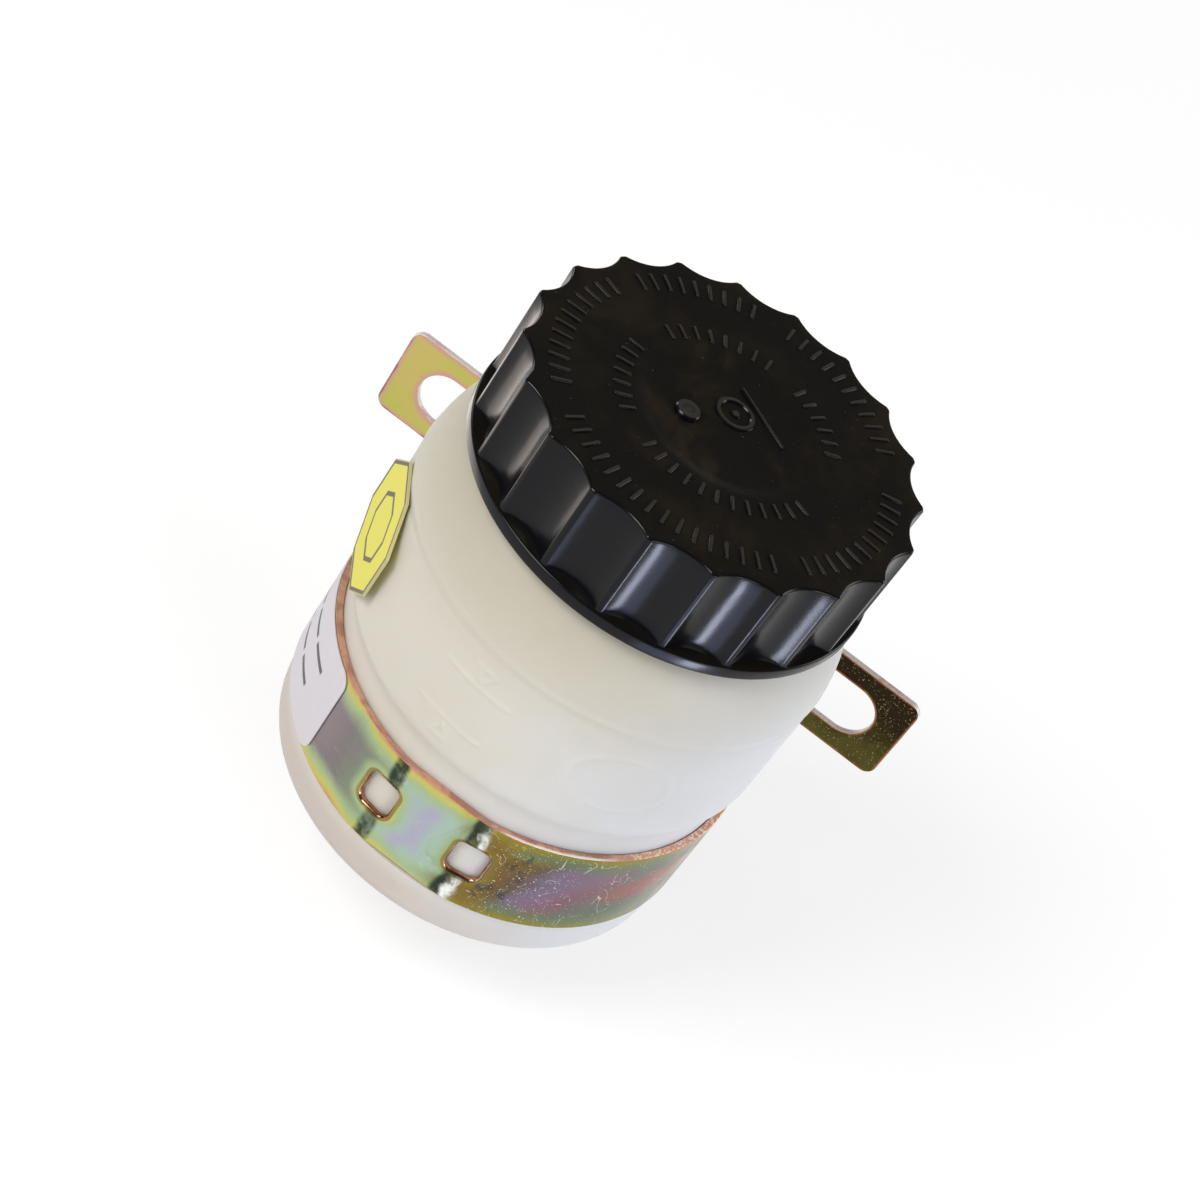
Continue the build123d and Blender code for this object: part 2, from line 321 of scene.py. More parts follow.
def relief(theta, z):
    """Raised marks on the body: two level pointers, an oval rim and the line at the shoulder."""
    height = np.zeros_like(theta)
    for middle, level, way_up in POINTERS:
        u = BODY_R * (theta - radians(middle))
        v = (z - level) * way_up
        for ends in POINTER_STROKES:
            height = np.maximum(height, 0.25 * stroke(u, v, ends, POINTER_W))
    u = BODY_R * (theta - radians(OVAL_TURN))
    v = z - OVAL_Z
    tilt = radians(OVAL_TILT)
    a = (u * cos(tilt) + v * sin(tilt)) / OVAL_HALF_W
    b = (v * cos(tilt) - u * sin(tilt)) / OVAL_HALF_H
    ring = np.abs(np.hypot(a, b) - 1) * 6.6
    height = np.maximum(height, 0.17 * (1 - smooth_step(0.15, 0.8, ring)))
    height += 0.13 * (1 - smooth_step(0.25, 0.9, np.abs(z - SHOULDER_Z - 0.4)))
    height -= 0.1 * (1 - smooth_step(0.2, 0.8, np.abs(z - SHOULDER_Z + 1.3)))
    return height


def make_bottle():
    """The wall turned round its axis, finer in front, with its marks and the flat under the strap."""
    fine = np.arange(-128, -22, 0.62)
    coarse = np.arange(-22, 232, 2.6)
    angles = np.radians(np.concatenate([fine, coarse]))

    def step(r, z):
        if r > BODY_R - 0.1:
            return 0.4 if z < SHOULDER_Z + 2 else 1.0
        return 4.0

    profile = bottle_profile()
    profile = split_long(profile + profile[:1], step)[:-1]
    radii = np.repeat(np.array([p[0] for p in profile])[:, None], len(angles), axis=1)
    heights = np.array([p[1] for p in profile])
    theta, z = np.meshgrid(angles, heights)
    outside = (radii > BODY_R - 0.6) & (z > SEAT_HIGH_Z) & (z < SHOULDER_Z + 3)
    radii = radii + relief(theta, z) * outside
    # The flat under the strap, cut into the seat
    flat = POCKET_FLAT / np.maximum(np.cos(theta + pi / 2), 0.2)
    in_pocket = (radii > SEAT_R - 0.5) & (z > SEAT_LOW_Z - 0.25) & (z < POCKET_HIGH_Z)
    radii = np.where(in_pocket, np.minimum(radii, flat), radii)
    bm = bmesh.new()
    add_grid(bm, turned(radii, heights, angles), wrap_rows=True, wrap_columns=True)
    return finish_mesh("bottle_shell", bm, 40)


# Screw threads


def make_thread(name, root_r, tip_r, turns, phase):
    """A tapered ridge from root_r to tip_r that fades out at both ends."""
    count = int(turns * 96)
    fade_turn = 0.08
    grid = []
    for i in range(count + 1):
        turn = turns * i / count
        height = float(smooth_step(0, fade_turn, min(turn, turns - turn)))
        angle = phase + 2 * pi * turn
        z = THREAD_LOW_Z + THREAD_PITCH * turn
        tip = root_r + (tip_r - root_r) * max(height, 0.02)
        half_root = 1.1 * (0.35 + 0.65 * height)
        half_tip = 0.45 * (0.35 + 0.65 * height)
        section = [(root_r, -half_root), (tip, -half_tip), (tip, half_tip), (root_r, half_root)]
        grid.append([(r * cos(angle), r * sin(angle), z + dz) for r, dz in section])
    bm = bmesh.new()
    grid = np.array(grid)
    add_grid(bm, grid, wrap_columns=True)
    bm.verts.ensure_lookup_table()
    for row in (0, count):
        bm.faces.new([bm.verts[row * 4 + k] for k in range(4)])
    return finish_mesh(name, bm, 50)


# Cap


def flute_radii(angles):
    """The grip's outline: lands on the ridge circle with scallops between them."""
    pitch = 2 * pi / FLUTES
    half = pitch / 2 - RIDGE_TIP_W / 2 / RIDGE_R
    half_w = RIDGE_R * sin(half)
    sag = FLUTE_DEPTH - RIDGE_R * (1 - cos(half))
    scoop_r = (half_w**2 + sag**2) / (2 * sag)
    scoop_mid = RIDGE_R - FLUTE_DEPTH + scoop_r
    away = (angles - RIDGE_PHASE) % pitch - pitch / 2
    inside = np.maximum(scoop_r**2 - (scoop_mid * np.sin(away)) ** 2, 0)
    scallop = scoop_mid * np.cos(away) - np.sqrt(inside)
    # A small blend rounds the edge of each land
    blend = 0.16
    mix = np.clip(0.5 + 0.5 * (scallop - RIDGE_R) / blend, 0, 1)
    return scallop * (1 - mix) + RIDGE_R * mix - blend * mix * (1 - mix)


def make_cap():
    """The cap's closed shell: its inside with the sealing rib, then flange, grip and dished top."""
    around = [0, 0.3, 0.55, 0.8, 1.05, 1.4, 2.0, 3.0, 4.2, 5.6, 7.2, 9.0]
    around += [18 - a for a in reversed(around[1:-1])]
    angles = np.radians([360 / FLUTES * k + a for k in range(FLUTES) for a in around]) + RIDGE_PHASE
    flute = flute_radii(angles)
    rows = []

    def ring(r, z):
        rows.append((np.full(len(angles), float(r)), z))

    def grip(inset, z):
        """Adds the fluted outline, drawn in by inset."""
        rows.append((flute - inset, z))

    base, top, under = CAP_BASE_Z, CAP_TOP_Z, CAP_UNDER_Z
    lip_z = base + FLANGE_H
    inner = [
        (0.0, under, 0),
        (RIB_IN_R, under, 0.2),
        (RIB_IN_R, under - RIB_H, 0.25),
        (RIB_OUT_R, under - RIB_H, 0.25),
        (RIB_OUT_R, under, 0.2),
        (CAP_IN_R, under, 0.4),
        (CAP_IN_R, base, 0.3),
        (FLANGE_R, base, 0.45),
        (FLANGE_R, lip_z, 0.4),
        (FLANGE_R - 1.0, lip_z, 0),
    ]
    for r, z in split_long(rounded(inner)[:-1], lambda r, z: 4.0):
        ring(r, z)
    grip(-0.25, lip_z)
    grip(-0.08, lip_z + 0.07)
    grip(0.0, lip_z + 0.3)
    wall_rows = 8
    edge = 0.55
    for i in range(1, wall_rows + 1):
        grip(0.0, lip_z + 0.3 + (top - edge - lip_z - 0.3) * i / wall_rows)
    for turn in (0.2, 0.4, 0.6, 0.8, 1.0):
        t = turn * pi / 2
        grip(edge * (1 - cos(t)), top - edge * (1 - sin(t)))
    for r in (33.0, 31.0, 28.0, 24.0, 20.0):
        ring(r, top)
    for turn in (0, 0.12, 0.25, 0.4, 0.6, 0.75, 0.88, 1.0):
        ring(DISH_R + 1.0 - 4.0 * turn, top - DISH_DEPTH * float(smooth_step(0, 1, turn)))
    for r in (10.0, 7.0, 4.0, 0.0):
        ring(r, top - DISH_DEPTH)
    radii = np.array([r for r, z in rows])
    heights = np.array([z for r, z in rows])
    bm = bmesh.new()
    add_grid(bm, turned(radii, heights, angles), wrap_columns=True)
    return finish_mesh("cap_shell", bm, 38)


def add_pill(bm, x, y, z, length, width, height, turn, edge=0.18):
    """A raised bar with rounded ends, standing on a plane at height z."""
    levels = [(0, -0.15), (0, height - edge), (edge * 0.35, height - edge * 0.3), (edge, height)]
    reach = length / 2 - width / 2
    rings = []
    for inset, up in levels:
        half = width / 2 - inset
        ends = arc(reach, 0, half, -pi / 2, pi / 2, pi / 10)
        ends += arc(-reach, 0, half, pi / 2, 3 * pi / 2, pi / 10)
        ring = []
        for px, py in ends:
            across, ahead = px * cos(turn) - py * sin(turn), px * sin(turn) + py * cos(turn)
            ring.append((x + across, y + ahead, z + up))
        rings.append(ring)
    grid = np.array(rings)
    start = len(bm.verts)
    add_grid(bm, grid, wrap_columns=True)
    bm.verts.ensure_lookup_table()
    columns = grid.shape[1]
    for row in (0, len(levels) - 1):
        bm.faces.new([bm.verts[start + row * columns + k] for k in range(columns)])


def add_ring(bm, x, y, z, section):
    """A turned ring, or a knob where its section starts and ends at the middle."""
    turns = np.linspace(0, 2 * pi, 40, endpoint=False)
    closed = section[0][0] > 0
    radii = np.array([[r] * len(turns) for r, up in section])
    grid = turned(radii, np.array([z + up for r, up in section]), turns)
    add_grid(bm, grid + np.array((x, y, 0)), wrap_rows=closed, wrap_columns=True)


def make_cap_marks():
    """Rows of short dashes on the cap in place of words, and the ring, knob and bar in its dish."""
    bm = bmesh.new()
    top = CAP_TOP_Z
    dish = top - DISH_DEPTH
    for middle_r, length, step, rows in DASH_ROWS:
        for start, end in rows:
            count = int((end - start) / step)
            for k in range(count + 1):
                turn = radians(start + step * k)
                x, y = middle_r * cos(turn), middle_r * sin(turn)
                add_pill(bm, x, y, top, length, DASH_W, DASH_H, turn, 0.15)
    add_pill(bm, 4.0, 6.5, dish, 13.0, 0.65, 0.6, radians(-31))
    rim = [(2.6, -0.15), (2.6, 0.2), (2.8, 0.4), (3.4, 0.4), (3.7, 0.2), (3.7, -0.15)]
    add_ring(bm, 0.2, 3.3, dish, rim)
    add_ring(bm, 0.2, 3.3, dish, [(0, -0.15), (0.9, -0.15), (0.9, 0.15), (0.6, 0.35), (0, 0.35)])
    knob = [(0, -0.15), (2.2, -0.15), (2.2, 0.8), (2.0, 1.0), (1.1, 1.0), (0.8, 0.8), (0, 0.8)]
    add_ring(bm, -5.9, -4.2, dish, knob)
    return finish_mesh("cap_marks", bm, 40)


# Strap


def half_path():
    """The strip's centre line from the middle of the front to the right ear's end."""
    crease_y = -FRONT_Y + CREASE_R
    crease_x = sqrt((STRAP_MID_R - CREASE_R) ** 2 - crease_y**2)
    meet = atan2(crease_y, crease_x)
    bend_x = LEG_X + BEND_R
    bend_y = sqrt((STRAP_MID_R + BEND_R) ** 2 - bend_x**2)
    leave = atan2(bend_y, bend_x)
    return [
        ("line", (0, -FRONT_Y), 0.0, crease_x),
        ("arc", (crease_x, crease_y), CREASE_R, -pi / 2, meet),
        ("arc", (0, 0), STRAP_MID_R, meet, leave),
        ("arc", (bend_x, bend_y), BEND_R, leave + pi, pi),
        ("line", (LEG_X, bend_y), pi / 2, EAR_Y - BEND_R - bend_y),
        ("arc", (bend_x, EAR_Y - BEND_R), BEND_R, pi, pi / 2),
        ("line", (bend_x, EAR_Y), 0.0, EAR_REACH - bend_x),
    ]


PATH = half_path()


def path_length(piece):
    """Length of a line or an arc of the centre line."""
    return piece[3] if piece[0] == "line" else piece[2] * abs(piece[4] - piece[3])


def along(s):
    """Point and heading on the centre line at a signed distance from the front's middle."""
    left = abs(s)
    for piece in PATH:
        length = path_length(piece)
        if left <= length or piece is PATH[-1]:
            break
        left -= length
    if piece[0] == "line":
        (x, y), heading = piece[1], piece[2]
        x, y = x + left * cos(heading), y + left * sin(heading)
    else:
        (cx, cy), r, start, end = piece[1:]
        way = 1 if end > start else -1
        angle = start + way * left / r
        x, y, heading = cx + r * cos(angle), cy + r * sin(angle), angle + way * pi / 2
    if s < 0:
        return -x, y, -heading
    return x, y, heading


def bend_stations():
    """Distances at which the flat strip is cut so that it can bend."""
    stations = []
    start = 0.0
    for piece in PATH[:-1]:
        length = path_length(piece)
        if piece[0] == "arc":
            count = ceil(abs(piece[4] - piece[3]) / radians(2.5 if piece[2] > 20 else 8))
            stations += [start + length * i / count for i in range(count + 1)]
        start += length
    stations = sorted(set(round(s, 4) for s in stations))
    return [-s for s in reversed(stations)] + stations


def strip_distance(polar):
    """Distance along the strip at which it lies at an angle from the front's middle."""
    low, high = 0.0, 60.0
    for _ in range(50):
        middle = (low + high) / 2
        x, y = along(middle)[:2]
        if atan2(x, -y) < polar:
            low = middle
        else:
            high = middle
    return low


STRIP_REACH = sum(path_length(piece) for piece in PATH)
SLOT_RUN = STRIP_REACH - path_length(PATH[-1]) + SLOT_X - (LEG_X + BEND_R)
WINDOW_RUN = strip_distance(WINDOW_ANGLE)
CREASE_RUN = strip_distance(CREASE)


def outline(cx, cy, w, h, r):
    """Points round a rectangle with rounded corners."""
    points = []
    for sx, sy, start in ((1, 1, 0), (-1, 1, pi / 2), (-1, -1, pi), (1, -1, 3 * pi / 2)):
        mx, my = cx + sx * (w / 2 - r), cy + sy * (h / 2 - r)
        for x, y in arc(mx, my, r, start, start + pi / 2):
            if not points or hypot(x - points[-1][0], y - points[-1][1]) > 1e-3:
                points.append((x, y))
    if hypot(points[0][0] - points[-1][0], points[0][1] - points[-1][1]) < 1e-3:
        points.pop()
    return points


def add_lip(bm, middle):
    """The rounded lip that the punch leaves in a window, as a ring on the flat strip."""
    half = STRAP_T / 2
    section = [(-0.15, -half + 0.1), (-0.15, half - 0.1)]
    for turn in np.linspace(pi / 2, -pi / 2, 9):
        section.append((LIP * cos(turn), (half + 0.04) * sin(turn)))
    rings = []
    for inset, up in section:
        w, h, r = WINDOW_W - 2 * inset, WINDOW_H - 2 * inset, WINDOW_R - inset
        rings.append([(x, y, up) for x, y in outline(middle, 0, w, h, r)])
    add_grid(bm, np.array(rings), wrap_rows=True, wrap_columns=True)


def flat_strip():
    """A mesh of the flat strip with its windows and slots and with bevelled edges."""
    loops = [outline(0, 0, 2 * STRIP_REACH, STRAP_W, EAR_CORNER)]
    for side in (-1, 1):
        loops.append(outline(side * WINDOW_RUN, 0, WINDOW_W, WINDOW_H, WINDOW_R))
        loops.append(outline(side * SLOT_RUN, 0, SLOT_LEN, SLOT_W, SLOT_W / 2))
    curve = bpy.data.curves.new("strip", "CURVE")
    curve.dimensions = "2D"
    curve.fill_mode = "BOTH"
    curve.extrude = STRAP_T / 2 - STRAP_BEVEL
    curve.bevel_depth = STRAP_BEVEL
    curve.bevel_resolution = 2
    curve.offset = -STRAP_BEVEL
    for loop in loops:
        spline = curve.splines.new("POLY")
        spline.points.add(len(loop) - 1)
        for point, (x, y) in zip(spline.points, loop):
            point.co = (x, y, 0, 1)
        spline.use_cyclic_u = True
    holder = bpy.data.objects.new("strip", curve)
    bpy.context.scene.collection.objects.link(holder)
    bpy.context.view_layer.update()
    flat = bpy.data.meshes.new_from_object(holder)
    bpy.data.objects.remove(holder)
    bpy.data.curves.remove(curve)
    return flat


def bend_strip(bm):
    """Bends the flat strip round the bottle and returns its points' normals."""
    bm.verts.index_update()
    normals = [Vector() for _ in bm.verts]
    for face in bm.faces:
        weight = face.calc_area()
        for vert in face.verts:
            normals[vert.index] += face.normal * weight
    bent = []
    for vert in bm.verts:
        s, h, t = vert.co
        x, y, heading = along(s)
        ahead = Vector((cos(heading), sin(heading), 0))
        out = Vector((sin(heading), -cos(heading), 0))
        n = normals[vert.index]
        bent.append((ahead * n.x + Vector((0, 0, n.y)) + out * n.z).normalized())
        vert.co = (x + out.x * t, y + out.y * t, STRAP_LOW_Z + STRAP_W / 2 + h)
    return bent


def make_strap():
    """The strap, cut where it bends, with lips in its windows.

    Its points keep their place on the flat strip, in millimetres, for the film's colours.
    """
    flat = flat_strip()
    bm = bmesh.new()
    bm.from_mesh(flat)
    bpy.data.meshes.remove(flat)
    bmesh.ops.remove_doubles(bm, verts=bm.verts, dist=1e-4)
    for s in bend_stations():
        everything = bm.verts[:] + bm.edges[:] + bm.faces[:]
        cut = {"plane_co": (s, 0, 0), "plane_no": (1, 0, 0)}
        bmesh.ops.bisect_plane(bm, geom=everything, dist=1e-4, **cut)
    bmesh.ops.dissolve_degenerate(bm, edges=bm.edges, dist=1e-4)
    for side in (-1, 1):
        add_lip(bm, side * WINDOW_RUN)
    bmesh.ops.recalc_face_normals(bm, faces=bm.faces)
    marks = {
        "rim": [1.0 if abs(v.co.z) < STRAP_T / 2 - 0.02 else 0.0 for v in bm.verts],
        "run": [v.co.x for v in bm.verts],
        "rise": [v.co.y for v in bm.verts],
    }
    normals = bend_strip(bm)
    bmesh.ops.scale(bm, vec=(MM, MM, MM), verts=bm.verts)
    mesh = bpy.data.meshes.new("strap_strip")
    bm.to_mesh(mesh)
    bm.free()
    mesh.shade_smooth()
    mesh.normals_split_custom_set_from_vertices(normals)
    for key, values in marks.items():
        mesh.attributes.new(key, "FLOAT", "POINT").data.foreach_set("value", values)
    obj = bpy.data.objects.new("strap_strip", mesh)
    bpy.context.scene.collection.objects.link(obj)
    return obj


# Materials


class Net:
    """A material's node tree, with short calls for the nodes that are used here."""

    def __init__(self, name, tree=None):
        if tree is None:
            self.material = bpy.data.materials.new(name)
            self.material.use_nodes = True
            tree = self.material.node_tree
        self.tree = tree
        self.shader = tree.nodes.get("Principled BSDF")

    def node(self, kind, inputs=(), **settings):
        node = self.tree.nodes.new(kind)
        for key, value in settings.items():
            setattr(node, key, value)
        for key, value in dict(inputs).items():
            self.feed(node.inputs[key], value)
        return node

    def feed(self, socket, value):
        """Links a socket to another node's output, or gives it a constant."""
        if isinstance(value, bpy.types.NodeSocket):
            self.tree.links.new(value, socket)
        else:
            socket.default_value = value

    def set(self, **inputs):
        """Feeds the shader's inputs."""
        for key, value in inputs.items():
            self.feed(self.shader.inputs[key.replace("_", " ")], value)

    def place(self, scale=(1, 1, 1), turn=(0, 0, 0)):
        """Object coordinates in metres, turned and scaled."""
        where = self.node("ShaderNodeTexCoord").outputs["Object"]
        inputs = {"Vector": where, "Rotation": turn, "Scale": scale}
        return self.node("ShaderNodeMapping", inputs).outputs[0]

    def axes(self, where):
        split = self.node("ShaderNodeSeparateXYZ", {0: where})
        return split.outputs[0], split.outputs[1], split.outputs[2]

    def noise(self, where, scale, detail=3.0, roughness=0.5, distortion=0.0):
        inputs = {"Vector": where, "Scale": scale, "Detail": detail}
        inputs.update({"Roughness": roughness, "Distortion": distortion})
        return self.node("ShaderNodeTexNoise", inputs).outputs["Fac"]

    def ramp(self, fac, stops):
        """A colour for each value, from (value, colour) stops."""
        node = self.node("ShaderNodeValToRGB", {"Fac": fac})
        ramp = node.color_ramp
        while len(ramp.elements) < len(stops):
            ramp.elements.new(0.5)
        for element, (place, color) in zip(ramp.elements, stops):
            element.position = place
            element.color = (*color, 1)
        return node.outputs["Color"]

    def math(self, operation, a, b=0.0, c=0.0, clamp=False):
        inputs = {0: a, 1: b, 2: c}
        return self.node("ShaderNodeMath", inputs, operation=operation, use_clamp=clamp).outputs[0]

    def chain(self, operation, terms):
        """One operation over several terms, from the left."""
        value = terms[0]
        for term in terms[1:]:
            value = self.math(operation, value, term)
        return value

    def add(self, *terms):
        return self.chain("ADD", terms)

    def times(self, *terms):
        return self.chain("MULTIPLY", terms)

    def least(self, *terms):
        return self.chain("MINIMUM", terms)

    def most(self, *terms):
        return self.chain("MAXIMUM", terms)

    def minus(self, a, b):
        return self.math("SUBTRACT", a, b)

    def over(self, a, b):
        return self.math("DIVIDE", a, b)

    def size(self, a):
        return self.math("ABSOLUTE", a)

    def length(self, a, b):
        return self.math("SQRT", self.add(self.times(a, a), self.times(b, b)))

    def fit(self, value, low, high, to_low=0.0, to_high=1.0):
        """A smooth step from to_low to to_high as the value goes from low to high."""
        inputs = {"Value": value, "From Min": low, "From Max": high, "To Min": to_low, "To Max": to_high}
        return self.node("ShaderNodeMapRange", inputs, interpolation_type="SMOOTHSTEP").outputs[0]

    def fit_straight(self, value, low, high):
        """A straight ramp from 0 to 1 as the value goes from low to high."""
        return self.math("DIVIDE", self.minus(value, low), high - low, clamp=True)

    def mix(self, fac, a, b):
        """Colour a where fac is 0 and colour b where it is 1."""
        node = self.node("ShaderNodeMix", data_type="RGBA")
        self.feed(node.inputs[0], fac)
        for socket, color in ((node.inputs[6], a), (node.inputs[7], b)):
            self.feed(socket, color if isinstance(color, bpy.types.NodeSocket) else (*color, 1))
        return node.outputs[2]

    def bump(self, height, strength, distance=0.0002):
        inputs = {"Height": height, "Strength": strength, "Distance": distance}
        self.feed(self.shader.inputs["Normal"], self.node("ShaderNodeBump", inputs).outputs[0])


def paint(red, green, blue):
    """The linear colour of an sRGB one given as 0 to 255."""
    shares = [c / 255 for c in (red, green, blue)]
    return tuple(c / 12.92 if c <= 0.04045 else ((c + 0.055) / 1.055) ** 2.4 for c in shares)


def milky_plastic():
    """Natural polyethylene, cream on the left, with a painted bluish light that makes the right side
    bluish and brighter, and a painted shadow that darkens it near the cap.
    """
    net = Net("milky_plastic")
    where = net.place()
    x, y, z = net.axes(where)
    cloud = net.noise(where, 28, 4, 0.55)
    fine = net.noise(where, 900, 3, 0.6)
    # Towards +X the colour turns bluish and brighter: a painted bluish light from the right
    lean = net.add(net.times(x, 14.0), net.times(net.minus(cloud, 0.5), 0.7))
    side = net.fit(lean, -0.15, 0.6)
    warm = net.mix(cloud, paint(216, 209, 195), paint(228, 222, 210))
    painted_bluish_light = net.mix(cloud, paint(219, 219, 223), paint(230, 231, 238))
    color = net.mix(side, warm, painted_bluish_light)
    # Painted shadow under the cap's flange, weaker on the right
    top = net.fit(net.add(z, net.times(cloud, 0.01)), 0.056, 0.080)
    top = net.times(top, net.fit(side, 0, 1, 0.75, 0.45))
    color = net.mix(top, color, paint(189, 182, 162))
    foot = net.times(net.fit(z, 0.006, 0.010, 1, 0), net.fit(side, 0, 1, 0.8, 0.0))
    color = net.mix(foot, color, paint(208, 195, 187))
    net.set(Base_Color=color, Roughness=net.fit(fine, 0.3, 0.7, 0.40, 0.50))
    net.set(IOR=1.5, Specular_IOR_Level=0.22)
    net.set(Subsurface_Weight=0.5, Subsurface_Scale=0.004, Subsurface_Radius=(1.0, 0.85, 0.65))
    net.bump(net.noise(where, 260, 4, 0.6), 0.2, 0.00015)
    return net.material


def black_plastic(name, top_color):
    """Black moulded nylon with slight flow marks, duller on the flat top, which has its own colour, and
    with a bluish tint on the sides that is painted bluish light.
    """
    net = Net(name)
    where = net.place()
    x, y = net.axes(where)[:2]
    cloud = net.noise(where, 70, 5, 0.6, 0.4)
    normal = net.node("ShaderNodeNewGeometry").outputs["Normal"]
    flat = net.fit(net.axes(normal)[2], 0.9, 0.99)
    # The sides' bluish tint is painted bluish light in the flutes
    color = net.mix(flat, (0.0042, 0.0042, 0.0055), top_color)
    # Brown dust, most of it in the dish, and pale specks
    dust = net.times(net.fit(cloud, 0.45, 0.75), flat)
    in_dish = net.fit(net.length(x, y), 0.013, 0.018, 0.9, 0.45)
    color = net.mix(net.times(dust, in_dish), color, (0.030, 0.020, 0.010))
    speck = net.times(net.fit(net.noise(where, 1900, 2, 0.6), 0.72, 0.78), flat)
    color = net.mix(net.times(speck, 0.7), color, (0.14, 0.13, 0.11))
    rough = net.add(net.fit(cloud, 0.3, 0.7, 0.17, 0.23), net.times(flat, 0.08))
    net.set(Base_Color=color, Roughness=rough, IOR=1.5, Specular_IOR_Level=0.18)
    net.bump(cloud, 0.35, 0.0003)
    return net.material


# Tones in the middle of the strip, by distance along it from the front's middle
FILM_TONES = (
    (-120, (178, 168, 98)),
    (-100, (140, 150, 120)),
    (-80, (176, 160, 112)),
    (-50, (160, 165, 110)),
    (-26, (140, 126, 130)),
    (-18, (128, 122, 120)),
    (-11, (136, 150, 122)),
    (-6, (166, 188, 172)),
    (-1, (172, 168, 190)),
    (5, (166, 192, 172)),
    (9, (128, 106, 50)),
    (14, (116, 92, 52)),
    (17.5, (104, 88, 78)),
    (20.5, (119, 107, 127)),
    (25, (130, 104, 122)),
    (30, (128, 93, 104)),
    (35, (106, 106, 100)),
    (42, (96, 104, 88)),
    (52, (104, 98, 66)),
    (75, (120, 116, 82)),
    (95, (142, 118, 104)),
    (120, (84, 84, 48)),
)


